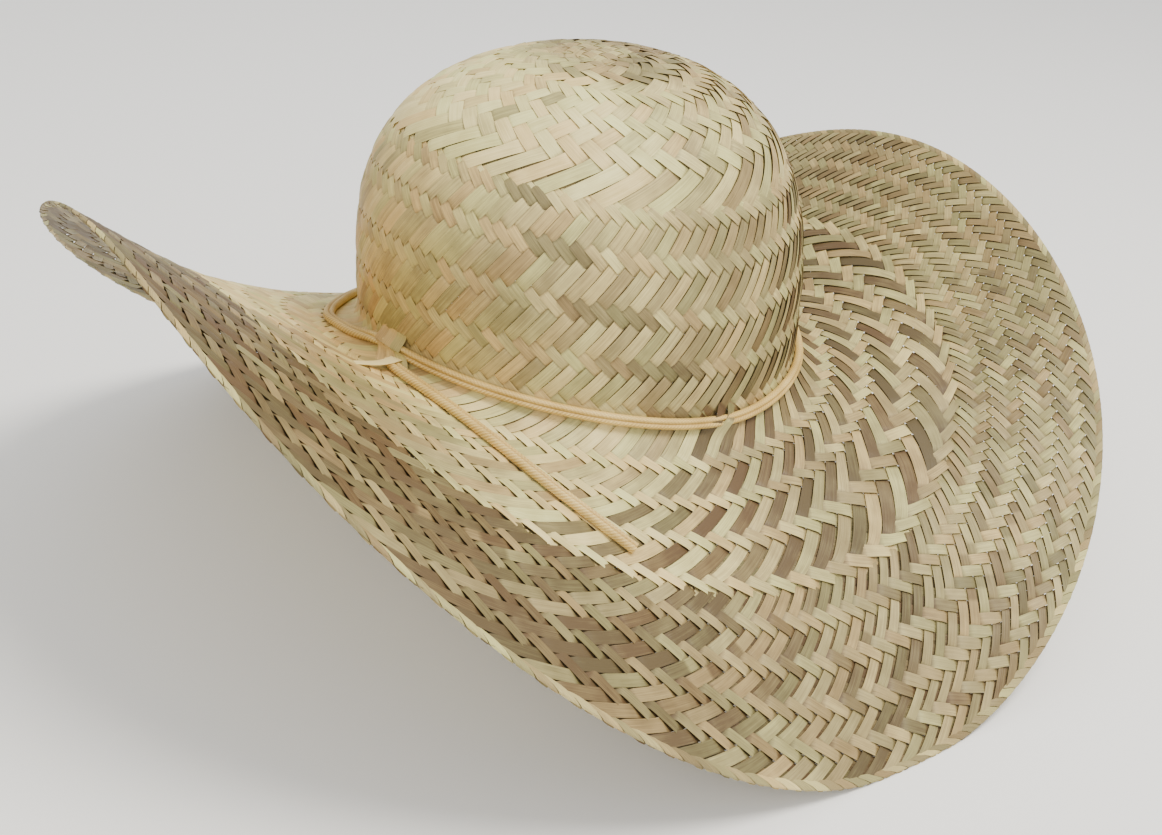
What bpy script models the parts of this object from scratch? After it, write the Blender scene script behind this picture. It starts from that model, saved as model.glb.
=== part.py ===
# Straw cowboy hat: a palm hat woven in one, with a plain round crown, a saddle-shaped brim and a
# loose braided cord. Metres, +Z up, the front of the hat at -Y and the wearer's left at +X.
# It rests as it would by itself, on the drooped edge at each side of the brim, at Z = 0.
import math

import bmesh
import bpy
import numpy as np

# Crown, measured over the middle of the straw at the foot, where the crown turns into the brim
crown_length = 0.1925
crown_width = 0.168
crown_height = 0.115
crown_lean = 0.0055
crown_wall = 0.0018
side_power = 3.3
top_power = 2.3

# Brim, measured along its surface from the crown's foot to the edge
brim_width = 0.138
brim_wall = 0.0018
brim_bend = 0.7
foot_roll = 0.008
foot_lift = 0.014
rest_flat = 0.0025
seam_gap = 0.0003

# Sections of the brim from the front round to the back, the same on both sides: the angle from the
# front, the width as a share of brim_width, the slope in degrees by the crown and at the edge, and
# the height of the crown's foot as a share of foot_lift.
brim_columns = ("angle", "width", "slope_in", "slope_out", "foot")
brim_sections = (
    (0, 0.96, 30.0, 39.0, 1.00),
    (45, 0.95, 3.0, -5.0, 0.50),
    (90, 1.10, -21.5, -39.0, -0.38),
    (135, 0.985, -7.5, 4.5, -0.41),
    (180, 0.95, 4.0, 52.5, -0.16),
)

# Cord: its thickness, and its clearance over the straw
cord_diameter = 0.0044
cord_gap = 0.0006
cord_step = 0.0115

# Routes on the brim, chosen by hand: the angle from the front in degrees, towards the wearer's
# left, and the distance out from the crown's foot in metres.
ring_route = (
    (4, 0.0012),
    (14, 0.0012),
    (30, 0.0014),
    (61, 0.0012),
    (87, 0.0028),
    (98, 0.0034),
    (125, 0.0020),
    (155, 0.0018),
    (185, 0.0022),
    (215, 0.0018),
    (245, 0.0020),
    (270, 0.0026),
    (292, 0.0046),
    (310, 0.0080),
    (325, 0.0120),
    (334, 0.0148),
    (341, 0.0155),
    (347, 0.0120),
    (352, 0.0088),
    (358, 0.0040),
)
free_end_route = (
    (9, 0.0106),
    (13, 0.0124),
    (22, 0.0162),
    (31, 0.0225),
    (41, 0.0330),
    (49, 0.0435),
    (56, 0.0530),
    (62, 0.0625),
)

# Faces round the hat, along the brim and up the crown, and how the brim's rows crowd to the foot
sides = 72
brim_rows = 15
brim_crowding = 2.2
crown_rows = 12
march_steps = 6


def clear_scene():
    for item in list(bpy.data.objects):
        bpy.data.objects.remove(item, do_unlink=True)


def straw(name, colour, roughness):
    material = bpy.data.materials.new(name)
    material.use_nodes = True
    shader = material.node_tree.nodes["Principled BSDF"]
    shader.inputs["Base Color"].default_value = (*colour, 1.0)
    shader.inputs["Roughness"].default_value = roughness
    shader.inputs["Metallic"].default_value = 0.0
    return material


def around(column, angles):
    """One column of the brim's table at any angle, as the cosine series through its rows."""
    values = [row[brim_columns.index(column)] for row in brim_sections]
    last = len(values) - 1
    halves = [0.5 if n in (0, last) else 1.0 for n in range(last + 1)]
    total = np.zeros_like(angles)
    for wave in range(last + 1):
        terms = [halves[n]*values[n]*math.cos(math.pi*wave*n/last) for n in range(last + 1)]
        total += halves[wave]*2/last*sum(terms)*np.cos(wave*angles)
    return total


def crown_foot(angles):
    x = crown_width/2*np.sin(angles)
    y = -crown_length/2*np.cos(angles)
    z = foot_lift*around("foot", angles)
    return np.stack([x, y, z], -1)


def outward(angles):
    """Level direction square to the crown's oval."""
    x = np.sin(angles)/crown_width
    y = -np.cos(angles)/crown_length
    size = np.hypot(x, y)
    return np.stack([x/size, y/size, np.zeros_like(x)], -1)


def brim_grid(angles, shares):
    """Middle of the brim's straw, row by row from the crown's foot (share 0) to the edge (share 1)."""
    width = brim_width*around("width", angles)
    slope_in = np.radians(around("slope_in", angles))
    slope_out = np.radians(around("slope_out", angles))
    out = outward(angles)
    up = np.array([0.0, 0.0, 1.0])
    point = crown_foot(angles)
    rows = [point]
    for start, end in zip(shares[:-1], shares[1:]):
        step = (width*(end - start)/march_steps)[:, None]
        for count in range(march_steps):
            share = start + (end - start)*(count + 0.5)/march_steps
            turn = np.exp(-share*width/foot_roll)
            slope = slope_in + (slope_out - slope_in)*share**brim_bend - (math.pi/2 + slope_in)*turn
            point = point + step*(out*np.cos(slope)[:, None] + up*np.sin(slope)[:, None])
        rows.append(point)
    return np.array(rows)


def bear_on_table(grid, lowest):
    """The straw springs up a little where each drooped side bears on the table."""
    flat = lowest + rest_flat
    soft = 0.4*rest_flat
    height = grid[..., 2]
    grid[..., 2] = (height + flat + np.sqrt((height - flat)**2 + soft**2))/2
    return grid


def crown_grid(angles, heights):
    """Middle of the crown's straw, from the foot (height 0) to just short of the top (height 1)."""
    foot = crown_foot(angles)
    rows = []
    for height in heights:
        reach = (1 - height**side_power)**(1/top_power)
        row = foot*np.array([reach, reach, 1 - height])
        row += np.array([0.0, -crown_lean, crown_height])*height
        rows.append(row)
    return np.array(rows)


def square_to(grid, level):
    """Unit normals of a grid, on the side that its first row's level ones point to."""
    along = np.gradient(grid, axis=0)
    round_it = np.roll(grid, -1, axis=1) - np.roll(grid, 1, axis=1)
    normals = np.cross(round_it, along)
    normals /= np.linalg.norm(normals, axis=-1)[..., None]
    normals *= np.sign((normals[1]*level).sum())
    normals[0] = level
    return normals


def ring_faces(body, lower, upper):
    count = len(lower)
    for side in range(count):
        after = (side + 1) % count
        body.faces.new((lower[side], lower[after], upper[after], upper[side]))


def add_rows(body, grid):
    return [[body.verts.new(point) for point in row] for row in grid]


def finish(name, body, material):
    bmesh.ops.recalc_face_normals(body, faces=body.faces)
    mesh = bpy.data.meshes.new(name)
    body.to_mesh(mesh)
    body.free()
    mesh.materials.append(material)
    mesh.shade_smooth()
    mesh.set_sharp_from_angle(angle=math.radians(40))
    thing = bpy.data.objects.new(name, mesh)
    bpy.context.scene.collection.objects.link(thing)
    return thing


def make_brim(grid, angles, material):
    normals = square_to(grid, outward(angles))
    grid = grid.copy()
    grid[0, :, 2] -= seam_gap
    top = grid + normals*brim_wall/2
    under = grid - normals*brim_wall/2
    body = bmesh.new()
    top_rows = add_rows(body, top)
    under_rows = add_rows(body, under)
    for rows in (top_rows, under_rows):
        for lower, upper in zip(rows[:-1], rows[1:]):
            ring_faces(body, lower, upper)
    ring_faces(body, top_rows[0], under_rows[0])
    ring_faces(body, top_rows[-1], under_rows[-1])
    return finish("brim", body, material)


def make_crown(grid, angles, material):
    normals = square_to(grid, outward(angles))
    body = bmesh.new()
    walls = []
    for side in (1, -1):
        rows = add_rows(body, grid + side*normals*crown_wall/2)
        for lower, upper in zip(rows[:-1], rows[1:]):
            ring_faces(body, lower, upper)
        peak = body.verts.new((0.0, -crown_lean, crown_height + side*crown_wall/2))
        for start in range(sides):
            body.faces.new((rows[-1][start], rows[-1][(start + 1) % sides], peak))
        walls.append(rows)
    ring_faces(body, walls[0][0], walls[1][0])
    return finish("crown", body, material)


def smooth_route(route, closed):
    """Many points of the smooth curve through a route's own points."""
    points = [np.array(point, float) for point in route]
    if closed:
        turn = np.array([360.0, 0.0])
        points = [points[-1] - turn, *points, points[0] + turn, points[1] + turn]
    else:
        points = [2*points[0] - points[1], *points, 2*points[-1] - points[-2]]
    fine = []
    for a, b, c, d in zip(points[:-3], points[1:-2], points[2:-1], points[3:]):
        for t in np.linspace(0, 1, 40, endpoint=False):
            fine.append(b + 0.5*t*(c - a + t*(2*a - 5*b + 4*c - d + t*(3*(b - c) + d - a))))
    fine.append(points[-2])
    return np.array(fine)


def on_brim(route, lowest):
    """Cord centres over the brim's upper side for pairs of angle in degrees and distance out."""
    angles = np.radians(route[:, 0])
    nudge = 1e-4
    sheets = []
    for turn in (-nudge, nudge):
        ring = angles + turn
        width = brim_width*around("width", ring)
        shares = np.linspace(0, 1, 181)
        grid = bear_on_table(brim_grid(ring, shares), lowest)
        for shift in (-nudge, nudge):
            place = np.clip((route[:, 1] + shift)/width, 0, 1)*180
            low = np.minimum(place.astype(int), 179)
            part = (place - low)[:, None]
            pick = np.arange(len(ring))
            sheets.append(grid[low, pick]*(1 - part) + grid[low + 1, pick]*part)
    centre = sum(sheets)/4
    across = sheets[2] + sheets[3] - sheets[0] - sheets[1]
    out = sheets[1] + sheets[3] - sheets[0] - sheets[2]
    normal = np.cross(out, across)
    normal /= np.linalg.norm(normal, axis=-1)[:, None]
    return centre + normal*(brim_wall/2 + cord_gap + cord_diameter/2)


def even_steps(points, closed):
    """Points about cord_step apart along a fine line."""
    lengths = np.linalg.norm(np.diff(points, axis=0), axis=1)
    reach = np.concatenate([[0], np.cumsum(lengths)])
    count = max(3, round(reach[-1]/cord_step))
    stops = np.linspace(0, reach[-1], count + 1)
    if closed:
        stops = stops[:-1]
    return np.stack([np.interp(stops, reach, points[:, axis]) for axis in range(3)], -1)


def make_cord(name, points, closed, material):
    line = bpy.data.curves.new(name, "CURVE")
    line.dimensions = "3D"
    line.bevel_depth = cord_diameter/2
    line.bevel_resolution = 2
    line.use_fill_caps = not closed
    spline = line.splines.new("POLY")
    spline.points.add(len(points) - 1)
    for place, point in zip(spline.points, points):
        place.co = (*point, 1.0)
    spline.use_cyclic_u = closed
    line.materials.append(material)
    thing = bpy.data.objects.new(name, line)
    bpy.context.scene.collection.objects.link(thing)
    return thing


def stand_on_table(things, brim):
    """Lower the whole hat onto Z = 0, with the middle of its box over the origin."""
    spots = np.array([vertex.co[:] for vertex in brim.data.vertices])
    low = spots.min(axis=0)
    high = spots.max(axis=0)
    stand = bpy.data.objects.new("stand", None)
    bpy.context.scene.collection.objects.link(stand)
    stand.location = (0.0, -(low[1] + high[1])/2, -low[2])
    for thing in things:
        thing.parent = stand


def main():
    clear_scene()
    palm = straw("palm_straw", (0.62, 0.53, 0.35), 0.75)
    braid = straw("golden_braid", (0.72, 0.55, 0.28), 0.6)
    angles = np.radians(np.arange(sides)*360/sides)
    shares = (np.arange(brim_rows + 1)/brim_rows)**brim_crowding
    heights = np.sin(np.arange(crown_rows)/crown_rows*math.pi/2)
    grid = brim_grid(angles, shares)
    lowest = grid[..., 2].min()
    brim = make_brim(bear_on_table(grid, lowest), angles, palm)
    crown = make_crown(crown_grid(angles, heights), angles, palm)
    ring = even_steps(on_brim(smooth_route(ring_route, True), lowest), True)
    free_end = even_steps(on_brim(smooth_route(free_end_route, False), lowest), False)
    cords = [
        make_cord("crown_cord", ring, True, braid),
        make_cord("cord_free_end", free_end, False, braid),
    ]
    stand_on_table([crown, brim, *cords], brim)


main()
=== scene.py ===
# Looks of the straw cowboy hat: a palm hat woven in one, with a braided cord round the foot of
# its crown. Metres, +Z up, the hat's front at -Y and the wearer's left at +X, as in the CAD frame.
import math

import bmesh
import bpy
import numpy as np
from mathutils import Matrix, Vector


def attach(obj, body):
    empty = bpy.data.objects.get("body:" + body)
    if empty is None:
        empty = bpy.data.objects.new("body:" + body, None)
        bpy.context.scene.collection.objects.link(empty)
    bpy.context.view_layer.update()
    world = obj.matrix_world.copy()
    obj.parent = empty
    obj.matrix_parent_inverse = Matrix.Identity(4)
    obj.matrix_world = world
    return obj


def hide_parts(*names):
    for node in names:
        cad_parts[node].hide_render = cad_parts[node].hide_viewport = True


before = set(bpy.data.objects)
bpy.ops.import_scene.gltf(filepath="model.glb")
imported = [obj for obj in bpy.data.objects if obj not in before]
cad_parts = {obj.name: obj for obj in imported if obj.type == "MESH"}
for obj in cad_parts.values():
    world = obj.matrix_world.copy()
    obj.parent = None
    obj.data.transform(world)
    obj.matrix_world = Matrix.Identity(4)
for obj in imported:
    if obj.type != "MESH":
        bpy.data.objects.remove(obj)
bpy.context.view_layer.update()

# ---------------------------------------------------------------------------------------------
# Woven sheet: crown and brim are one sheet of palm, plaited from the middle of the crown's top
# outwards and blocked to shape while damp. These are the sizes of its form: the oval foot, the
# domed crown and the saddle of the brim, which lies on the middle of the straw.
crown_length = 0.1925
crown_width = 0.168
crown_height = 0.115
crown_lean = 0.0055
side_power = 3.3
top_power = 2.3
brim_width = 0.138
brim_bend = 0.7
foot_roll = 0.008
foot_lift = 0.014
rest_flat = 0.0025
rest_rounding = 0.4 * rest_flat
hat_shift = np.array([0.0, 0.0017, 0.09025])
brim_columns = ("angle", "width", "slope_in", "slope_out", "foot")
brim_sections = (
    (0, 0.96, 30.0, 39.0, 1.00),
    (45, 0.95, 3.0, -5.0, 0.50),
    (90, 1.10, -21.5, -39.0, -0.38),
    (135, 0.985, -7.5, 4.5, -0.41),
    (180, 0.95, 4.0, 52.5, -0.16),
)

# Distance out along the sheet runs from -crown_reach at the top, over 0 at the foot, to
# brim_reach at the edge. It is a true length up to steady_reach, and is scaled beyond.
crown_reach = 0.170
brim_reach = 0.1518
steady_reach = 0.065
sheet_step = 0.0005
sheet_sides = 720
brim_steps = 600
crown_steps = 800


def around(column, angles):
    """One column of the brim's table at any angle, as the cosine series through its rows."""
    values = [row[brim_columns.index(column)] for row in brim_sections]
    last = len(values) - 1
    halves = [0.5 if n in (0, last) else 1.0 for n in range(last + 1)]
    total = np.zeros_like(angles)
    for wave in range(last + 1):
        terms = [halves[n] * values[n] * math.cos(math.pi * wave * n / last)
                 for n in range(last + 1)]
        total += halves[wave] * 2 / last * sum(terms) * np.cos(wave * angles)
    return total


def woven_sheet():
    """Points on the middle of the straw, distance by distance and angle by angle."""
    angles = np.arange(sheet_sides) * 2 * math.pi / sheet_sides
    foot = np.stack([crown_width / 2 * np.sin(angles), -crown_length / 2 * np.cos(angles),
                     foot_lift * around("foot", angles)], -1)
    out = np.stack([np.sin(angles) / crown_width, -np.cos(angles) / crown_length, 0 * angles], -1)
    out /= np.linalg.norm(out, axis=-1)[:, None]
    up = np.array([0.0, 0.0, 1.0])
    width = brim_width * around("width", angles)
    slope_in = np.radians(around("slope_in", angles))
    slope_out = np.radians(around("slope_out", angles))
    shares = np.linspace(0, 1, brim_steps + 1)
    brim = [foot]
    for start, end in zip(shares[:-1], shares[1:]):
        share = (start + end) / 2
        turn = (math.pi / 2 + slope_in) * np.exp(-share * width / foot_roll)
        slope = slope_in + (slope_out - slope_in) * share**brim_bend - turn
        step = (width * (end - start))[:, None]
        brim.append(brim[-1] + step * (out * np.cos(slope)[:, None] + up * np.sin(slope)[:, None]))
    brim = np.array(brim)
    flat = brim[..., 2].min() + rest_flat
    height = brim[..., 2]
    brim[..., 2] = (height + flat + np.sqrt((height - flat) ** 2 + rest_rounding**2)) / 2
    crown = []
    for height in 1 - (1 - np.linspace(0, 1, crown_steps + 1)) ** 2:
        reach = (1 - height**side_power) ** (1 / top_power)
        crown.append(foot * np.array([reach, reach, 1 - height])
                     + np.array([0.0, -crown_lean, crown_height]) * height)
    crown = np.array(crown)
    arc = np.linalg.norm(np.diff(crown, axis=0), axis=-1).cumsum(axis=0)
    arc = np.concatenate([np.zeros((1, sheet_sides)), arc])
    distances = np.arange(-crown_reach, brim_reach + sheet_step / 2, sheet_step)
    sheet = np.zeros((len(distances), sheet_sides, 3))
    above = distances < 0
    for side in range(sheet_sides):
        climb = -distances[above] / crown_reach * arc[-1, side]
        spread = distances[~above].copy()
        far = spread > steady_reach
        spread[far] = steady_reach + (spread[far] - steady_reach) * (
            (width[side] - steady_reach) / (brim_reach - steady_reach))
        for axis in range(3):
            sheet[above, side, axis] = np.interp(climb, arc[:, side], crown[:, side, axis])
            sheet[~above, side, axis] = np.interp(spread / width[side], shares, brim[:, side, axis])
    return sheet + hat_shift


sheet = woven_sheet()
sheet_along = np.gradient(sheet, sheet_step, axis=0)
sheet_round = (np.roll(sheet, -1, 1) - np.roll(sheet, 1, 1)) / (4 * math.pi / sheet_sides)
sheet_normal = np.cross(sheet_along, sheet_round)
sheet_normal[:3] = (0, 0, 1)
sheet_normal /= np.linalg.norm(sheet_normal, axis=-1)[..., None]
sheet_data = np.concatenate([
    sheet,
    sheet_normal,
    np.linalg.norm(sheet_round, axis=-1)[..., None],
    np.linalg.norm(sheet_along, axis=-1)[..., None],
], -1)


def on_sheet(angles, distances):
    """Place, normal, metres for each radian round, and metres for each metre out."""
    row = np.clip((distances + crown_reach) / sheet_step, 0, len(sheet) - 1.001)
    side = (angles / (2 * math.pi) * sheet_sides) % sheet_sides
    low, left = row.astype(int), side.astype(int) % sheet_sides
    part_out, part_round = (row - low)[..., None], (side - np.floor(side))[..., None]
    right = (left + 1) % sheet_sides
    inner = sheet_data[low, left] * (1 - part_round) + sheet_data[low, right] * part_round
    outer = sheet_data[low + 1, left] * (1 - part_round) + sheet_data[low + 1, right] * part_round
    mixed = inner * (1 - part_out) + outer * part_out
    normal = mixed[..., 3:6] / np.linalg.norm(mixed[..., 3:6], axis=-1)[..., None]
    return mixed[..., :3], normal, mixed[..., 6], mixed[..., 7]


# ---------------------------------------------------------------------------------------------
# Plait: strips of split palm leaf about 5 mm wide and 0.35 mm thick, in two families that lean
# opposite ways and cross in rings. Long right-leaning floats alternate with one or two crossings
# of the other family, so that the rings show. More strips are laid in as the sheet grows.
chance = np.random.default_rng(7)
straw_thick = 0.00036
straw_lift = 0.00033
straw_arch = 0.00012
float_bulge = 0.00024
ridge_lift = 0.00022
steps_per_crossing = 3
# Height of a strip between two crossings that differ, as a share of its full lift, and at the
# ends of a zone, where it goes in under the next one.
crossing_share = 0.8
edge_level = -1.6
# Painted shade: how much darker a face is made where it is turned towards the other family.
covered_shade = 0.36
# A strip's section: place across it, in half-widths, and 1 for the arched top, 0 for a rim and
# -1 for the underside, which is a little narrower.
strip_section = ((-1, 0), (0, 1), (1, 0), (0.88, -1), (-0.88, -1))
# Where three strips at the wearer's left pass over the cord: the middle and half-width of the
# place in degrees, how high they rise, and the middle and half-width of the rise going out.
bridge_angle, bridge_half_angle = 92.5, 4.2
bridge_rise, bridge_out, bridge_half = 0.0046, 0.003, 0.0052
# The lowest strips are pressed against the table, down to this height.
table_gap = 0.00004

# Zones from the middle out: strips of each family, where the zone starts in mm, and its rings,
# each with where it ends in mm, its crossings, and the family on top.
plait_zones = (
    (12, -163.5, ((-160, 1, "right"), (-157, 1, "left"), (-153.5, 1, "right"), (-150, 1, "left"))),
    (24, -150, ((-143.5, 2, "right"), (-137, 2, "left"), (-130.5, 2, "right"))),
    (48, -130.5, ((-123.5, 2, "left"), (-116, 2, "right"), (-109.5, 2, "left"),
                  (-102.5, 2, "right"), (-94.5, 2, "left"), (-80.5, 4, "right"))),
    (96, -80.5, ((-74.8, 2, "left"), (-64.2, 3, "right"), (-57.6, 2, "left"), (-43.6, 4, "right"),
                 (-37.0, 2, "left"), (-22.8, 4, "right"), (-16.6, 2, "left"), (-3.4, 4, "right"),
                 (3.2, 2, "left"), (17.6, 4, "right"), (22.8, 2, "left"), (34.4, 4, "right"),
                 (39.6, 2, "left"), (50.6, 4, "right"), (56.2, 2, "left"), (69.0, 4, "right"),
                 (74.5, 2, "left"))),
    (168, 74.5, ((84.5, 3, "right"), (91, 2, "left"), (101, 3, "right"), (107.5, 2, "left"),
                 (117.5, 3, "right"), (124, 2, "left"), (133.5, 3, "right"), (140, 2, "left"),
                 (149.5, 3, "right"))),
)
# In the zone round the foot, where every second right-leaning strip can be brown, one of those
# strips meets the foot at this angle.
brown_strip_foot = 91.6
# Above the foot, that zone's strips all drift round by this share of a strip at each crossing,
# so that one family lies flatter than the other.
crown_drift = 0.07

# The outer brim's strips lie closer together towards the back: strips to a full round, by angle.
outer_crowding = ((0, 110), (70, 120), (85, 132), (100, 150), (110, 165), (122, 200),
                  (145, 222), (180, 215), (215, 220), (240, 200), (255, 165), (275, 138),
                  (300, 118), (360, 110))
# The outer rings wander in and out a little, in mm by angle.
ring_wander = ((0, 1.0), (50, -1.0), (72, 0.0), (90, 3.0), (108, 7.5), (130, 5.5), (160, 0.0),
               (200, 3.0), (240, -1.0), (285, 4.0), (320, 0.0), (360, 1.0))
# Where the wander grows in, and the width of the stretch at the edge over which it fades.
wander_start, wander_growth, wander_fade = 0.042, 0.028, 0.030


def crowded(turns):
    """Angle of a strip of the outer brim, from its share of the round."""
    table = np.array(outer_crowding, float)
    fine = np.linspace(0, 360, 721)
    laid = np.concatenate([[0], np.cumsum(np.interp(fine[1:] - 0.25, table[:, 0], table[:, 1]))])
    laid /= laid[-1]
    whole = np.floor(turns)
    return 2 * math.pi * whole + np.radians(np.interp(turns - whole, laid, fine))


def wandered(angles, distances):
    """Distance out in metres, with the outer rings' wander added."""
    table = np.array(ring_wander, float)
    swing = np.interp(np.degrees(angles) % 360, table[:, 0], table[:, 1])
    growing = np.clip((distances - wander_start) / wander_growth, 0, 1)
    fading = np.clip((brim_reach - distances) / wander_fade, 0, 1)
    return distances + swing * 0.001 * growing**2 * (3 - 2 * growing) * fading


def strip_tones(family, zone, foot, strip, angles, distances):
    """How dark each strip is, from 0 for bleached cream to 1 for brown: mostly the strips' own
    colour, and over the brim partly painted shade.

    Zones 0 to 2 are the upper crown, zone 3 lies round the foot and zone 4 is the outer brim.
    """
    degrees = np.degrees(angles) % 360
    behind = np.interp(degrees, (0, 62, 88, 270, 300, 360), (0, 0, 1, 1, 0, 0))
    tone = 0.10 + 0.16 * chance.random(angles.shape[0])[:, None] + 0 * angles
    if zone == 3:
        if family == "right":
            brown = (strip % 2 == 0) & (foot > 84) & (foot < 290)
            tone = tone + (brown * (0.42 + 0.22 * chance.random(len(strip))))[:, None]
            tone = tone + ((foot <= 84) * 0.12 * chance.random(len(strip)))[:, None]
        else:
            rise = np.clip(-distances - 0.020, 0, 0.06)
            brown = (foot[:, None] > 73 + 210 * rise) & (foot[:, None] < 99.5 - 60 * rise)
            brown = brown | ((foot > 190) & (foot < 206))[:, None]
            tone = tone + brown * (0.28 + 0.22 * chance.random(len(strip)))[:, None]
            fade = np.clip((distances - 0.004) / 0.010, 0, 1)
            tone = tone - 0.30 * fade * brown - 0.06 * fade
        tone = tone + 0.12 * (distances < 0)
        # The brim beyond 28 mm at the front, and the brim behind more than the crown behind, are
        # made darker: partly browner strips, partly painted shade for the lesser light on the brim.
        outwards = np.clip((distances - 0.028) / 0.015, 0, 1)
        tone = tone + 0.25 * outwards * np.clip((50 - degrees) / 20, 0, 1)
        tone = tone + np.where(distances > 0, 0.25, 0.12) * behind
    if zone == 4 and family == "right":
        drawn = np.repeat(chance.random(len(strip) // 2 + 1), 2)[:len(strip), None]
        often = np.interp(degrees, (0, 50, 90, 105, 150, 300, 360),
                          (0.62, 0.6, 0.55, 0.4, 0.35, 0.5, 0.62))
        deep = np.interp(degrees, (0, 80, 110, 150, 300, 360),
                         (0.28, 0.38, 0.28, 0.22, 0.30, 0.28))
        stretch = (distances.mean(axis=0) * 80).astype(int) % 9
        drawn = 0.65 * drawn + 0.35 * chance.random((len(strip), 9))[:, stretch]
        tone = tone + np.where(drawn < 0.2 + 0.6 * often, deep, 0.04)
    if zone == 4:
        # The outer brim is made darker all over, and more at the front: partly browner strips,
        # partly painted shade for the lesser light on the brim and on its front, which faces away
        # from the light.
        front = np.interp(degrees, (0, 20, 60, 80, 290, 340, 360), (1, 1, 0.35, 0, 0, 1, 1))
        tone = tone + 0.24 * front + 0.29
        if family == "left":
            often = np.where(front > 0.3, 0.35, 0.12)
            tone = tone + np.where(chance.random(len(strip))[:, None] < often, 0.26, 0.0)
    if zone <= 2:
        browner = np.where(chance.random(len(strip)) < 0.16, 0.20, 0.0)[:, None]
        tone = tone - 0.06 + 0.20 * behind + browner
    worn = np.clip((-distances - 0.128) / 0.02, 0, 1)
    return tone + 0.26 * worn


def slit_share(family, zone, angles, distances):
    """Share of its room that a strip fills, less where slits show between the long floats."""
    degrees = np.degrees(angles) % 360
    fill = np.full(angles.shape, 0.995)
    if family == "left":
        return fill
    fill -= 0.01 + 0.02 * chance.random(len(angles))[:, None]
    if zone == 2:
        out_there = np.exp(-((distances + 0.086) / 0.008) ** 4)
        fill -= 0.13 * out_there * np.exp(-((degrees - 34) / 26) ** 4)
    if zone == 3:
        out_there = np.exp(-((distances - 0.013) / 0.007) ** 4)
        fill -= 0.15 * out_there * np.exp(-((degrees - 38) / 20) ** 4)
        fill -= 0.03 * (distances > 0.018)
    if zone == 4:
        fill -= np.interp(degrees, (0, 60, 85, 150, 260, 300, 360),
                          (0.01, 0.03, 0.12, 0.11, 0.11, 0.03, 0.01))
    return fill


def spacing(turns):
    """How fast the angle grows with the share of the round, at strips of the outer brim."""
    nudge = 1e-3
    return (crowded(turns + nudge) - crowded(turns)) / nudge


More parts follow.
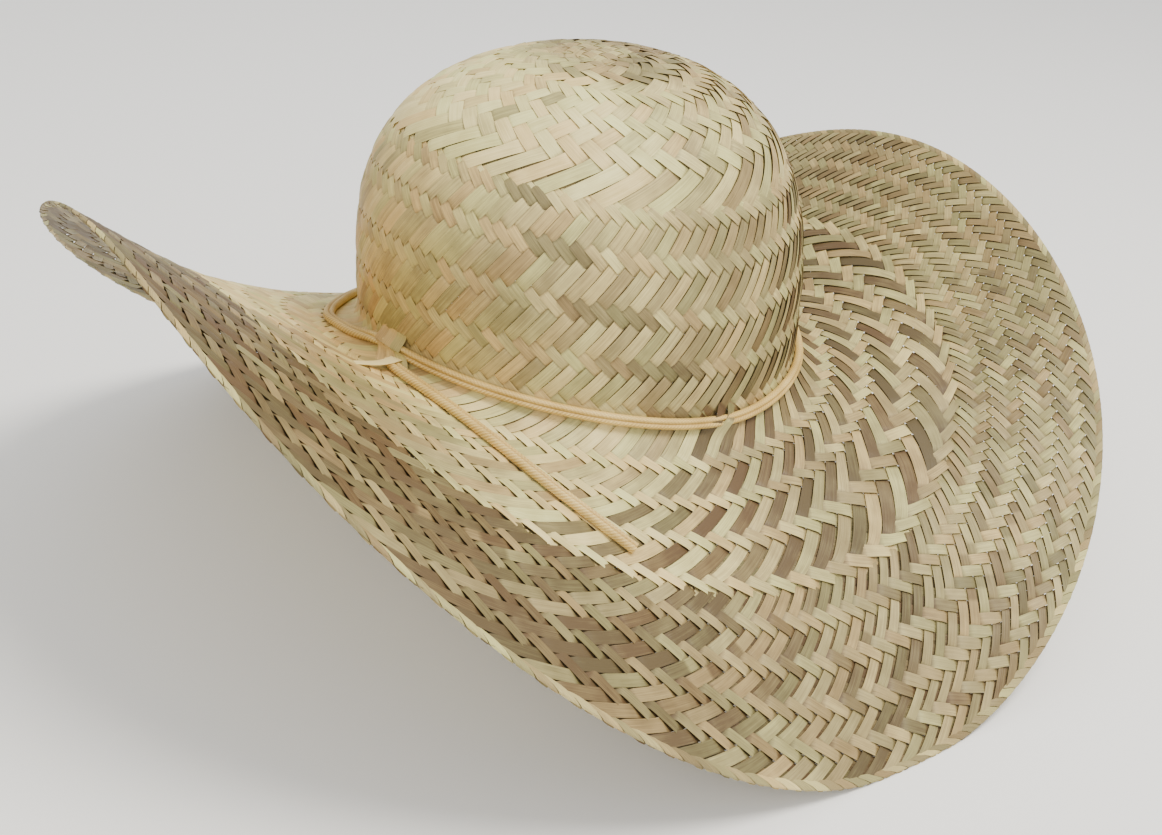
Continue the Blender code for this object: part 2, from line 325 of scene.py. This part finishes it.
def plaited_strips(family, zone, inner, outer):
    """Cross-sections of one family's strips in a zone, for the part between two distances."""
    strips, start, rings = plait_zones[zone]
    levels, over = [], []
    for end, count, top in rings:
        levels += [start + (end - start) * (n + 0.5) / count for n in range(count)]
        over += [1.0 if top == family else -1.0] * count
        start = end
    levels = [2 * levels[0] - levels[1], *levels, 2 * levels[-1] - levels[-2]]
    over = np.array([edge_level, *over, edge_level])
    levels = np.array(levels) / 1000
    place = np.arange((len(levels) - 1) * steps_per_crossing + 1) / steps_per_crossing
    line = np.interp(place, np.arange(len(levels)), levels)
    # The crown's part and the brim's part meet in the section that is nearest to the foot.
    meeting = line[np.abs(line).argmin()]
    inner, outer = [meeting if end == 0 else end for end in (inner, outer)]
    keep = (line >= inner - 1e-9) & (line <= outer + 1e-9)
    whole = np.minimum(place.astype(int), len(levels) - 2)
    part = place - whole
    here, after = over[whole], over[whole + 1]
    passing = crossing_share * np.where(part < 0.5, here, after)
    height = np.where(here == after, here, passing)
    height = np.where(part < 1e-6, here, height)
    # Long floats stand up a little in their middle.
    bulge = np.zeros(len(place))
    first = 0
    while first < len(over):
        last = first
        while last + 1 < len(over) and over[last + 1] == over[first]:
            last += 1
        reach = last - first + 1
        share = (place - first + 0.5) / reach
        inside = (share > 0) & (share < 1)
        bulge[inside] += over[first] * np.sin(math.pi * share[inside]) * min(1, (reach - 1) / 3)
        first = last + 1
    runs = np.concatenate([[0], np.cumsum(np.diff(np.sign(height)) != 0)])
    strip = np.arange(strips)
    lean = -0.5 if family == "right" else 0.5
    foot_place = np.interp(0.0, line, place)
    drift = crown_drift * np.minimum(place - foot_place, 0) if zone == 3 else 0 * place
    turns = (strip[:, None] + lean * place[None, :] + drift[None, :]) / strips
    if zone == 3:
        turns = turns + brown_strip_foot / 360 + 0.5 * foot_place / strips
    angles, spread = 2 * math.pi * turns, np.full(turns.shape, 2 * math.pi)
    if zone == 4:
        angles, spread = crowded(turns), spacing(turns)
    distances = wandered(angles, np.broadcast_to(line, angles.shape))
    foot = (turns[:, np.abs(line).argmin()] * 360) % 360
    tones = strip_tones(family, zone, foot, strip, angles, distances)

    def each_float():
        """A random share for every float of every strip."""
        return chance.random((strips, runs.max() + 1))[:, runs]

    tones = tones + 0.14 * (each_float() - 0.5)
    tints = chance.random(strips)[:, None]
    tints = tints + 0.5 * (each_float() - 0.5)
    _, _, per_round, per_out = on_sheet(angles, distances)
    go_round = np.gradient(angles, axis=1) * per_round
    go_out = np.gradient(distances, axis=1) * per_out
    go = np.hypot(go_round, go_out)
    across_round, across_out = -go_out / go, go_round / go
    room = per_round * spread / strips * np.abs(go_out) / go
    width = room * slit_share(family, zone, angles, distances)
    width = width * (1 + 0.03 * (each_float() - 0.5))
    roll = 0.08 + 0.10 * (each_float() - 0.5)
    lift = straw_lift * height + float_bulge * bulge * (0.7 + 0.8 * each_float())
    if family == "left":
        # The short floats of the brim stand up in ridges.
        lift = lift + ridge_lift * np.clip(distances / 0.015, 0, 1) * np.clip(height, 0, 1)
    if family == "right":
        # Three strips at the wearer's left pass over the cord and hold it down.
        held = np.exp(-((np.degrees(angles) % 360 - bridge_angle) / bridge_half_angle) ** 4)
        lift = lift + bridge_rise * held * np.exp(-((distances - bridge_out) / bridge_half) ** 2)
    length = np.cumsum(go, axis=1) + 0.4 * chance.random(strips)[:, None]
    facing = np.where(height >= 0, 1.0, -1.0)
    rims, marks, shades = [], [], []
    for side, top in strip_section:
        shift = side * width / 2
        # Painted shade: a face turned towards the other family where the strips cross is made
        # darker, for the shade that falls in the gaps between them.
        under = np.clip(height if top < 0 else -height, 0, 1) * (height > -1.1)
        shades.append(tones + covered_shade * under)
        point, normal, _, _ = on_sheet(angles + across_round * shift / per_round,
                                       distances + across_out * shift / per_out)
        rise = {0: straw_thick / 2, 1: straw_thick / 2 + straw_arch, -1: -straw_thick / 2}[top]
        rims.append(point + normal * (lift + rise + roll * shift * facing)[..., None])
        marks.append(np.stack([(side + 1) / 2 * width, length], -1))
    rims = np.stack(rims, 2)[:, keep]
    marks = np.stack(marks, 2)[:, keep]
    shades = np.stack(shades, 2)[:, keep]
    tints = np.repeat(tints[:, keep, None], len(strip_section), axis=2)
    return rims, marks, shades, tints


def joined_mesh(name, pieces):
    """One mesh from many strips, each a row of closed cross-sections with capped ends."""
    points, faces, marks, tones, tints = [], [], [], [], []
    count = 0
    for rims, mark, tone, tint in pieces:
        strips, sections, corners = rims.shape[:3]
        index = count + np.arange(strips * sections * corners).reshape(strips, sections, corners)
        wrapped = np.roll(index, -1, axis=2)
        walls = np.stack([index[:, :-1], wrapped[:, :-1], wrapped[:, 1:], index[:, 1:]], -1)
        faces += walls.reshape(-1, 4).tolist()
        faces += index[:, 0, ::-1].tolist() + index[:, -1].tolist()
        points.append(rims.reshape(-1, 3))
        marks.append(mark.reshape(-1, 2))
        tones.append(tone.reshape(-1))
        tints.append(tint.reshape(-1))
        count += strips * sections * corners
    points, marks = np.concatenate(points), np.concatenate(marks)
    points[:, 2] = np.maximum(points[:, 2], table_gap)
    mesh = bpy.data.meshes.new(name)
    mesh.from_pydata(points, [], faces)
    corners = np.zeros(len(mesh.loops), dtype=np.int32)
    mesh.loops.foreach_get("vertex_index", corners)
    layer = mesh.uv_layers.new(name="strip")
    layer.data.foreach_set("uv", (marks[corners] * 1000).astype(np.float32).ravel())
    for label, values in (("tone", tones), ("tint", tints)):
        layer = mesh.attributes.new(label, "FLOAT", "POINT")
        layer.data.foreach_set("value", np.concatenate(values).astype(np.float32))
    mesh.validate()
    thing = bpy.data.objects.new(name, mesh)
    bpy.context.scene.collection.objects.link(thing)
    return thing


def turned_out(thing):
    """Normals recalculated to point out of every strip."""
    body = bmesh.new()
    body.from_mesh(thing.data)
    bmesh.ops.recalc_face_normals(body, faces=body.faces)
    body.to_mesh(thing.data)
    body.free()
    thing.data.shade_smooth()
    thing.data.set_sharp_from_angle(angle=math.radians(38))


def linear(code):
    """An sRGB hex colour as linear RGBA."""
    parts = [int(code[n:n + 2], 16) / 255 for n in (1, 3, 5)]
    return (*[part / 12.92 if part <= 0.04045 else ((part + 0.055) / 1.055) ** 2.4
              for part in parts], 1.0)


def add_node(material, kind, settings=None, **links):
    """A node with its settings; each link names an input and gives a node's output or a value."""
    tree = material.node_tree
    node = tree.nodes.new(kind)
    for name, value in (settings or {}).items():
        setattr(node, name, value)
    for name, value in links.items():
        numbered = name[0] == "i" and name[1:].isdigit()
        socket = node.inputs[int(name[1:]) if numbered else name.replace("_", " ")]
        if isinstance(value, bpy.types.NodeSocket):
            tree.links.new(value, socket)
        else:
            socket.default_value = value
    return node


def scaled_and_added(material, value, share, base):
    """A value times a share, plus another value."""
    return add_node(material, "ShaderNodeMath", {"operation": "MULTIPLY_ADD"}, i0=value, i1=share,
                    i2=base).outputs[0]


def flat_noise(material, mapped, scale, detail):
    """Noise over a map that is laid out in mm, with features 1 / scale mm in size."""
    place = add_node(material, "ShaderNodeMapping", Vector=mapped.outputs[0], Scale=scale)
    return add_node(material, "ShaderNodeTexNoise", {"noise_dimensions": "2D"},
                    Vector=place.outputs[0], Scale=1.0, Detail=detail).outputs[0]


def ramp_stops(node, stops):
    """Sets a colour ramp's stops, from the first to the last."""
    ramp = node.color_ramp
    for place, code in stops[1:-1]:
        ramp.elements.new(place)
    for element, (place, code) in zip(ramp.elements, stops):
        element.position = place
        element.color = linear(code)


# Palm leaf: split, sun-bleached leaf, plaited dry. Fine ribs run along each strip, one face is
# cream and slightly waxy, and some strips are browner along their whole length.
palm = bpy.data.materials.new("palm_leaf_plaited")
palm.use_nodes = True
shader = palm.node_tree.nodes["Principled BSDF"]
# The tone attribute holds each strip's own colour together with the painted shade between the
# strips and over the brim.
tone = add_node(palm, "ShaderNodeAttribute", {"attribute_name": "tone"})
strip_map = add_node(palm, "ShaderNodeUVMap", {"uv_map": "strip"})
# Ribs 0.45 mm apart and some 20 mm long, and blotches about 10 mm across.
ribs = flat_noise(palm, strip_map, (2.2, 0.05, 1), 2.0)
blotch = flat_noise(palm, strip_map, (0.10, 0.09, 1), 2.0)
spot = add_node(palm, "ShaderNodeTexCoord")
weather = add_node(palm, "ShaderNodeTexNoise", Vector=spot.outputs["Object"], Scale=17.0,
                   Detail=3.0)
ribbed = scaled_and_added(palm, ribs, 0.34, -0.17)
blotched = scaled_and_added(palm, blotch, 0.30, ribbed)
weathered = scaled_and_added(palm, weather.outputs[0], 0.34, blotched)
mixed = add_node(palm, "ShaderNodeMath", {"operation": "ADD"}, i0=tone.outputs["Fac"],
                 i1=weathered)
centred = add_node(palm, "ShaderNodeMath", {"operation": "ADD"}, i0=mixed.outputs[0], i1=-0.30)
colours = add_node(palm, "ShaderNodeValToRGB", Fac=centred.outputs[0])
ramp_stops(colours, ((0.0, "#F0E5AE"), (0.22, "#D8CB93"), (0.48, "#A6986E"), (0.75, "#80734F"),
                     (1.0, "#5E4D33")))
# Some strips dried greenish, others pinkish.
tint = add_node(palm, "ShaderNodeAttribute", {"attribute_name": "tint"})
hue = add_node(palm, "ShaderNodeValToRGB", Fac=tint.outputs["Fac"])
ramp_stops(hue, ((0.1, "#EFF5DE"), (0.5, "#FCF8EA"), (0.95, "#FBEAD6")))
dyed = add_node(palm, "ShaderNodeMix", {"data_type": "RGBA", "blend_type": "MULTIPLY"}, i0=1.0,
                i6=colours.outputs[0], i7=hue.outputs[0])
# Painted warm light: strips at the front of the crown, near its foot, are tinted yellower, as if a
# warmer light fell on them there. Strips with a tone below 0 get less of it.
yellow_place = add_node(palm, "ShaderNodeMapping", {"vector_type": "TEXTURE"},
                        Vector=spot.outputs["Object"], Location=(-0.01, -0.095, 0.125),
                        Scale=(0.085, 0.085, 0.075))
yellow_reach = add_node(palm, "ShaderNodeTexGradient", {"gradient_type": "SPHERICAL"},
                        Vector=yellow_place.outputs[0])
warm_light_by_tone = add_node(palm, "ShaderNodeMath", {"operation": "MULTIPLY_ADD", "use_clamp": True},
                i0=tone.outputs["Fac"], i1=6.0, i2=1.0)
yellow_share = add_node(palm, "ShaderNodeMath", {"operation": "MULTIPLY"},
                        i0=yellow_reach.outputs[1], i1=0.75)
painted_warm_light = add_node(palm, "ShaderNodeMath", {"operation": "MULTIPLY"},
                    i0=yellow_share.outputs[0], i1=warm_light_by_tone.outputs[0])
tinted = add_node(palm, "ShaderNodeMix", {"data_type": "RGBA", "blend_type": "MULTIPLY"},
                  i0=painted_warm_light.outputs[0], i6=dyed.outputs[2], i7=linear("#F5D6A2"))
palm.node_tree.links.new(tinted.outputs[2], shader.inputs["Base Color"])
rib_bump = add_node(palm, "ShaderNodeBump", Strength=0.35, Distance=0.0004, Height=ribs)
palm.node_tree.links.new(rib_bump.outputs[0], shader.inputs["Normal"])
waxy = scaled_and_added(palm, blotch, 0.25, 0.42)
palm.node_tree.links.new(waxy, shader.inputs["Roughness"])
shader.inputs["Specular IOR Level"].default_value = 0.4

weave_parts = (
    ("crown_right_leaning_strips", "right", -crown_reach, 0.0, "crown"),
    ("crown_left_leaning_strips", "left", -crown_reach, 0.0, "crown"),
    ("brim_right_leaning_strips", "right", 0.0, brim_reach, "brim"),
    ("brim_left_leaning_strips", "left", 0.0, brim_reach, "brim"),
)
for name, family, inner, outer, stood_for in weave_parts:
    pieces = []
    for zone in range(len(plait_zones)):
        strips_here = plaited_strips(family, zone, inner, outer)
        if strips_here[0].shape[1] > 1:
            pieces.append(strips_here)
    thing = joined_mesh(name, pieces)
    turned_out(thing)
    thing.data.materials.append(palm)
    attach(thing, "root")
    if family == "right":
        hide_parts(stood_for)

# ---------------------------------------------------------------------------------------------
# Start of the plait: five strips laid over five others in a small square on top of the crown,
# from which all the rest is plaited outwards. Their ends run in under the first ring.
start_strips = 5
start_pitch = 0.0046
start_width = 0.96 * start_pitch
start_reach = 0.0135
start_turn = math.radians(20)
start_height, start_wave, start_dip = 0.00085, 0.00034, 0.0009
dip_from, dip_over = 0.0110, 0.004
start_rise = {0: 0.00016, 1: 0.00028, -1: -0.00016}
# On the strips' own map, one strip's width and how far the next one is moved along.
map_width, map_shift = 0.004, 0.03
pieces = []
for way in (0, 1):
    for strip in range(start_strips):
        aside = (strip - (start_strips - 1) / 2) * start_pitch
        along = np.linspace(-start_reach, start_reach, 26)
        across = np.full(along.shape, aside)
        cos, sin = math.cos(start_turn), math.sin(start_turn)
        flat_x, flat_y = (along, across) if way == 0 else (across, along)
        x = flat_x * cos - flat_y * sin
        y = flat_x * sin + flat_y * cos
        wave = np.cos(math.pi * along / start_pitch) * (1 if (strip + way) % 2 else -1)
        side_x, side_y = (-sin, cos) if way == 0 else (-cos, -sin)
        rims, marks = [], []
        for side, top in strip_section:
            shift = side * start_width / 2
            px, py = x + side_x * shift, y + side_y * shift
            reach = np.hypot(px, py)
            point, normal, _, _ = on_sheet(np.arctan2(px, -py), reach - crown_reach)
            dip = np.clip((reach - dip_from) / dip_over, 0, 1)
            lift = start_height + start_wave * wave - start_dip * dip
            rims.append(point + normal * (lift + start_rise[top])[:, None])
            marks.append(np.stack([(side + 1) / 2 * map_width + 0 * along,
                                   along + map_shift * strip], -1))
        shade = 0.30 + 0.22 * chance.random() + np.zeros((1, len(along), len(strip_section)))
        tint = 0 * shade + chance.random()
        pieces.append((np.stack(rims, 1)[None], np.stack(marks, 1)[None], shade, tint))
start = joined_mesh("start_of_the_plait", pieces)
turned_out(start)
start.data.materials.append(palm)
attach(start, "root")

# ---------------------------------------------------------------------------------------------
# Edge of the brim: the strips' ends are folded over the edge and tucked back on the underside,
# which leaves a narrow plain band of slanting folds.

# A fold's path over the edge and back: distance out and height over the straw, in mm.
fold_path = ((147.9, 0.45), (148.9, 0.72), (150.1, 0.78), (151.3, 0.55), (151.75, 0.0),
             (151.3, -0.55), (150.1, -0.78), (148.9, -0.72), (147.9, -0.45))
fold_middle = (0.1485, 0.0)
fold_slant = 0.0072
fold_start = 0.0015
fold_fill = 0.93
fold_tilt = 0.00012
fold_rise = {0: 0.0, 1: 0.00012, -1: -0.0003}
fold_step = 0.0018
folds = 252
path = np.array(fold_path) / 1000
away = path - np.array([fold_middle])
away /= np.linalg.norm(away, axis=1)[:, None]
turns = np.arange(folds)[:, None] / folds + fold_start
slide = np.array([-1.0, -0.75, -0.4, -0.15, 0.0, 0.15, 0.4, 0.75, 1.0]) * fold_slant / 2
angles = crowded(turns + slide[None, :])
spread = spacing(turns)
distances = np.broadcast_to(path[:, 0], angles.shape)
_, _, per_round, _ = on_sheet(angles, distances)
width = per_round * spread / folds * fold_fill
lift = path[:, 1][None, :] * (1 + 0.08 * chance.random(folds)[:, None])
rims, marks = [], []
for side, top in strip_section:
    shift = side * width / 2
    rise = fold_rise[top]
    point, normal, _, _ = on_sheet(angles + shift / per_round,
                                   distances + away[None, :, 0] * rise)
    rims.append(point + normal * (lift + away[None, :, 1] * (rise + fold_tilt * side))[..., None])
    along = np.broadcast_to(np.arange(len(path)) * fold_step, angles.shape)
    marks.append(np.stack([(side + 1) / 2 * width, along + chance.random(folds)[:, None]], -1))
corners = np.ones((1, len(path), len(strip_section)))
tones = (0.22 + 0.46 * chance.random(folds))[:, None, None] * corners
tints = chance.random(folds)[:, None, None] * corners
edge = joined_mesh("brim_folded_edge", [(np.stack(rims, 2), np.stack(marks, 2), tones, tints)])
turned_out(edge)
edge.data.materials.append(palm)
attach(edge, "root")

# ---------------------------------------------------------------------------------------------
# Cord: golden straw braided round two cores that lie side by side, so that a groove runs along
# it between two ribbed lobes. It lies round the crown's foot, slack at the wearer's right; its
# free end lies on the brim and is cut square.
cord_width = 0.0044
cord_height = 0.0033
core_offset = 0.00095
cord_above_straw = 0.00265
braid_pitch = 0.0015
braid_relief = 0.00008
# Metres along the braid for each radian round its section, by which its ribs slant.
rib_slant = 0.0019
# Distance from the groove within which the ribs flatten out, and within which they are painted
# darker as painted shade in the groove.
groove_flat, groove_shade_reach = 0.0006, 0.0008
cord_section_step = 0.00042
cord_corners = 22
cord_curve_steps = 60

# Routes by angle from the front in degrees and distance out from the crown's foot in metres.
ring_route = ((4, 0.0012), (14, 0.0012), (30, 0.0014), (61, 0.0012), (87, 0.0028),
              (98, 0.0034), (125, 0.0020), (155, 0.0018), (185, 0.0022), (215, 0.0018),
              (245, 0.0020), (270, 0.0026), (292, 0.0046), (310, 0.0080), (325, 0.0120),
              (334, 0.0148), (341, 0.0155), (347, 0.0120), (352, 0.0088), (358, 0.0040))
free_end_route = ((9, 0.0106), (13, 0.0124), (22, 0.0162), (31, 0.0225), (41, 0.0330), (49, 0.0435),
                  (56, 0.0530), (62, 0.0625))


def smooth_route(route, closed):
    """Many points of the smooth curve through a route's own points."""
    points = [np.array(point, float) for point in route]
    if closed:
        turn = np.array([360.0, 0.0])
        points = [points[-1] - turn, *points, points[0] + turn, points[1] + turn]
    else:
        points = [2 * points[0] - points[1], *points, 2 * points[-1] - points[-2]]
    fine = []
    for a, b, c, d in zip(points[:-3], points[1:-2], points[2:-1], points[3:]):
        for t in np.linspace(0, 1, cord_curve_steps, endpoint=False):
            bend = 2 * a - 5 * b + 4 * c - d + t * (3 * (b - c) + d - a)
            fine.append(b + 0.5 * t * (c - a + t * bend))
    fine.append(points[-2])
    return np.array(fine)


def cord_line(route, closed, spare):
    """Evenly spaced centres of a cord on the straw, and the way up from the straw at each."""
    fine = smooth_route(route, closed)
    place, normal, _, _ = on_sheet(np.radians(fine[:, 0]), fine[:, 1])
    place = place + normal * cord_above_straw
    reach = np.concatenate([[0], np.cumsum(np.linalg.norm(np.diff(place, axis=0), axis=1))])
    count = round((reach[-1] - spare) / cord_section_step)
    stops = np.linspace(spare, reach[-1], count + 1)
    if closed:
        stops = stops[:-1]
    even = [np.stack([np.interp(stops, reach, values[:, axis]) for axis in range(3)], -1)
            for values in (place, normal)]
    return even[0], even[1], stops


def braided_cord(name, centres, ups, stops, closed):
    """A two-lobed cord with slanting ribs that meet in the groove, as a closed tube."""
    ahead = np.gradient(centres, axis=0)
    if closed:
        ahead = np.roll(centres, -1, 0) - np.roll(centres, 1, 0)
    ahead /= np.linalg.norm(ahead, axis=1)[:, None]
    across = np.cross(ahead, ups)
    across /= np.linalg.norm(across, axis=1)[:, None]
    rise = np.cross(across, ahead)
    half_wide = cord_width / 2 - core_offset
    half_high = cord_height / 2
    corner = (np.arange(cord_corners) + 0.5) * 2 * math.pi / cord_corners
    cos, sin = np.abs(np.cos(corner)), np.sin(corner)
    square = (cos / half_wide) ** 2 + (sin / half_high) ** 2
    cross = cos * core_offset / half_wide**2
    reach = (cross + np.sqrt(cross**2 - square * ((core_offset / half_wide) ** 2 - 1))) / square
    away = np.abs(np.arctan2(np.cos(corner), np.abs(sin))) * rib_slant
    phase = 2 * math.pi * (stops[:, None] + np.where(sin > 0, 1, -1) * away) / braid_pitch
    rib = 0.5 + 0.5 * np.cos(phase)
    reach = reach[None, :] + braid_relief * (rib * 2 - 1) * np.clip(away / groove_flat, 0.2, 1)
    points = (centres[:, None] + across[:, None] * (reach * np.cos(corner))[..., None]
              + rise[:, None] * (reach * np.sin(corner))[..., None])
    index = np.arange(points.shape[0] * cord_corners).reshape(-1, cord_corners)
    after = np.roll(index, -1, 0) if closed else index[1:]
    before = index if closed else index[:-1]
    walls = np.stack([before, np.roll(before, -1, 1), np.roll(after, -1, 1), after], -1)
    faces = walls.reshape(-1, 4).tolist()
    if not closed:
        faces += [index[0, ::-1].tolist(), index[-1].tolist()]
    mesh = bpy.data.meshes.new(name)
    mesh.from_pydata(points.reshape(-1, 3), [], faces)
    corners = np.zeros(len(mesh.loops), dtype=np.int32)
    mesh.loops.foreach_get("vertex_index", corners)
    length = np.broadcast_to(stops[:, None], rib.shape).ravel()
    side = np.broadcast_to(corner[None, :] * rib_slant, rib.shape).ravel()
    layer = mesh.uv_layers.new(name="cord")
    places = np.stack([side, length], -1)[corners] * 1000
    layer.data.foreach_set("uv", places.astype(np.float32).ravel())
    # Painted light and shade: the rib attribute makes the cord lighter on its ribs' crests and
    # darker between them and towards the groove between the lobes.
    layer = mesh.attributes.new("rib", "FLOAT", "POINT")
    shade = rib * np.clip(away / groove_shade_reach, 0.15, 1)[None, :]
    layer.data.foreach_set("value", shade.astype(np.float32).ravel())
    thing = bpy.data.objects.new(name, mesh)
    bpy.context.scene.collection.objects.link(thing)
    turned_out(thing)
    return thing


# Golden straw braid: bleached and dyed straw, silky along its ribs. Its colour carries painted
# light and shade: lighter on the ribs' crests, darker between them and in the groove.
golden = bpy.data.materials.new("golden_straw_braid")
golden.use_nodes = True
shader = golden.node_tree.nodes["Principled BSDF"]
rib = add_node(golden, "ShaderNodeAttribute", {"attribute_name": "rib"})
cord_map = add_node(golden, "ShaderNodeUVMap", {"uv_map": "cord"})
# Threads 0.3 to 0.5 mm thick, and slow changes of shade 15 to 20 mm long.
thread = flat_noise(golden, cord_map, (2.0, 3.3, 1), 2.0)
slow = flat_noise(golden, cord_map, (0.05, 0.065, 1), 1.0)
threaded = scaled_and_added(golden, thread, 0.5, -0.25)
ribbed = scaled_and_added(golden, rib.outputs["Fac"], 0.5, threaded)
shaded = scaled_and_added(golden, slow, 0.5, ribbed)
gold = add_node(golden, "ShaderNodeValToRGB", Fac=shaded)
ramp_stops(gold, ((0.0, "#8E6F34"), (0.3, "#BF9B50"), (0.65, "#DFBF73"), (1.0, "#F3DDA1")))
golden.node_tree.links.new(gold.outputs[0], shader.inputs["Base Color"])
thread_bump = add_node(golden, "ShaderNodeBump", Strength=0.4, Distance=0.0002, Height=thread)
golden.node_tree.links.new(thread_bump.outputs[0], shader.inputs["Normal"])
shader.inputs["Roughness"].default_value = 0.5

centres, ups, stops = cord_line(ring_route, True, 0.0)
ring = braided_cord("cord_round_the_crown", centres, ups, stops, True)
ring.data.materials.append(golden)
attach(ring, "root")
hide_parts("crown_cord")

centres, ups, stops = cord_line(free_end_route, False, 0.0003)
free_end = braided_cord("free_end_of_the_cord", centres, ups, stops, False)
free_end.data.materials.append(golden)
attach(free_end, "root")
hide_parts("cord_free_end")

# ---------------------------------------------------------------------------------------------
# Keeper at the front: three floats of the plait, drawn up over the cord and its free end. They
# run down the crown's foot at a slant and end under a paler float, which stands up off the brim.
keeper_angles = (3.4, 6.7, 10.0)
keeper_width = 0.0052
# Degrees round for each mm out, and the distance out at which a float has its own angle.
keeper_slant, keeper_middle = 0.40, 0.0022
keeper_lap = 0.00025
keeper_sections = 34
# The floats' rise: distance out and height over the straw in mm.
keeper_rise = ((-6.0, 0.2), (-4.2, 0.9), (-2.6, 2.6), (-0.8, 4.5), (1.2, 5.0), (3.4, 5.1),
               (5.4, 4.3), (7.4, 2.8), (9.2, 1.5), (11.0, 0.2))
keeper_tones = (0.30, 0.24, 0.32)
keeper_tints = (0.95, 0.8, 0.1)
# The paler float, by angle in degrees, distance out and height over the straw in mm.
pale_float = ((10.8, 5.0, 1.4), (11.0, 6.8, 3.4), (11.3, 9.5, 4.8), (11.2, 13.0, 4.8),
              (10.4, 17.0, 3.5), (9.3, 21.0, 2.3), (8.3, 24.5, 1.2), (7.6, 27.0, 0.2))
pale_float_width = 0.0046
pale_float_sections = 31
pale_float_tone, pale_float_tint = -0.07, 0.6
loose_rise = {0: 0.0, 1: 0.00025, -1: -0.0003}


def loose_strip(angles, distances, heights, width, shade, tint):
    """One strip of leaf along a line over the straw."""
    _, _, per_round, per_out = on_sheet(angles, distances)
    go_round = np.gradient(angles) * per_round
    go_out = np.gradient(distances) * per_out
    go = np.hypot(go_round, go_out)
    rims, marks = [], []
    for side, top in strip_section:
        shift = side * width / 2
        point, up, _, _ = on_sheet(angles - go_out / go * shift / per_round,
                                   distances + go_round / go * shift / per_out)
        rims.append(point + up * (heights + loose_rise[top])[:, None])
        marks.append(np.stack([(side + 1) / 2 * width + 0 * go, np.cumsum(go)], -1))
    tones = shade + np.zeros((1, len(angles), len(strip_section)))
    return np.stack(rims, 1)[None], np.stack(marks, 1)[None], tones, 0 * tones + tint


def smoothed(values, **padding):
    """The running mean of five values, with the ends padded as asked."""
    return np.convolve(np.pad(values, 2, **padding), np.ones(5) / 5, mode="valid")


rise = np.array(keeper_rise) / 1000
fine = np.linspace(rise[0, 0], rise[-1, 0], keeper_sections)
pieces = []
for count, angle in enumerate(keeper_angles):
    heights = smoothed(np.interp(fine, rise[:, 0], rise[:, 1]), mode="edge")
    line = np.radians(angle + keeper_slant * 1000 * (np.maximum(fine, 0) - keeper_middle))
    pieces.append(loose_strip(line, fine, heights + keeper_lap * count, keeper_width,
                              keeper_tones[count], keeper_tints[count]))
table = np.array(pale_float)
share = np.linspace(0, len(table) - 1, pale_float_sections)
bent = [np.interp(share, np.arange(len(table)), column) for column in table.T]
bent = [smoothed(column, mode="reflect", reflect_type="odd") for column in bent]
pieces.append(loose_strip(np.radians(bent[0]), bent[1] / 1000, bent[2] / 1000, pale_float_width,
                          pale_float_tone, pale_float_tint))
keeper = joined_mesh("cord_keeper", pieces)
turned_out(keeper)
keeper.data.materials.append(palm)
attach(keeper, "root")

# ---------------------------------------------------------------------------------------------
# Studio: a plain pale floor, one large soft light over the camera's right, a weaker one from the
# left, and a pale surround. The camera stands at the hat's front left, a little over it.
bpy.ops.mesh.primitive_plane_add(size=16.0, location=(0, 0, 0))
floor = bpy.context.object
floor.name = "studio_floor"
paper = bpy.data.materials.new("matte_paper_backdrop")
paper.use_nodes = True
shader = paper.node_tree.nodes["Principled BSDF"]
shader.inputs["Base Color"].default_value = linear("#FBFAF7")
shader.inputs["Roughness"].default_value = 0.95
floor.data.materials.append(paper)


def soft_light(name, place, aim, size, power, code):
    """A round area light that points at a place."""
    lamp = bpy.data.lights.new(name, "AREA")
    lamp.shape = "DISK"
    lamp.size = size
    lamp.energy = power
    lamp.color = linear(code)[:3]
    thing = bpy.data.objects.new(name, lamp)
    thing.location = place
    thing.rotation_euler = (Vector(aim) - Vector(place)).to_track_quat("-Z", "Y").to_euler()
    bpy.context.scene.collection.objects.link(thing)


soft_light("key_light", (0.55, 0.35, 1.5), (0, 0, 0.08), 0.7, 28, "#FFFAF0")
soft_light("fill_light", (0.9, -1.3, 0.9), (0, 0, 0.08), 1.2, 9, "#FFFDF8")
surround = bpy.data.worlds.new("pale_surround")
surround.use_nodes = True
surround.node_tree.nodes["Background"].inputs["Color"].default_value = linear("#F6F7F8")
surround.node_tree.nodes["Background"].inputs["Strength"].default_value = 1.05
bpy.context.scene.world = surround

view_round, view_up, view_roll = math.radians(51.0), math.radians(27.75), math.radians(5.1)
view_distance = 0.620
aim_right, aim_down = 0.0033, 0.0463
back = Vector((math.sin(view_round) * math.cos(view_up), -math.cos(view_round) * math.cos(view_up),
               math.sin(view_up)))
right = Vector((math.cos(view_round), math.sin(view_round), 0))
upward = back.cross(right)
aim = Vector(hat_shift) + right * aim_right + Vector((0, 0, -aim_down))
turned_right = right * math.cos(view_roll) + upward * math.sin(view_roll)
turned_up = upward * math.cos(view_roll) - right * math.sin(view_roll)
camera = bpy.data.cameras.new("view")
camera.sensor_width = 36
camera.sensor_fit = "HORIZONTAL"
camera.lens = 43.6
eye = bpy.data.objects.new("view", camera)
frame_of_view = Matrix((turned_right, turned_up, back)).transposed().to_4x4()
frame_of_view.translation = aim + back * view_distance
eye.matrix_world = frame_of_view
bpy.context.scene.collection.objects.link(eye)
bpy.context.scene.camera = eye
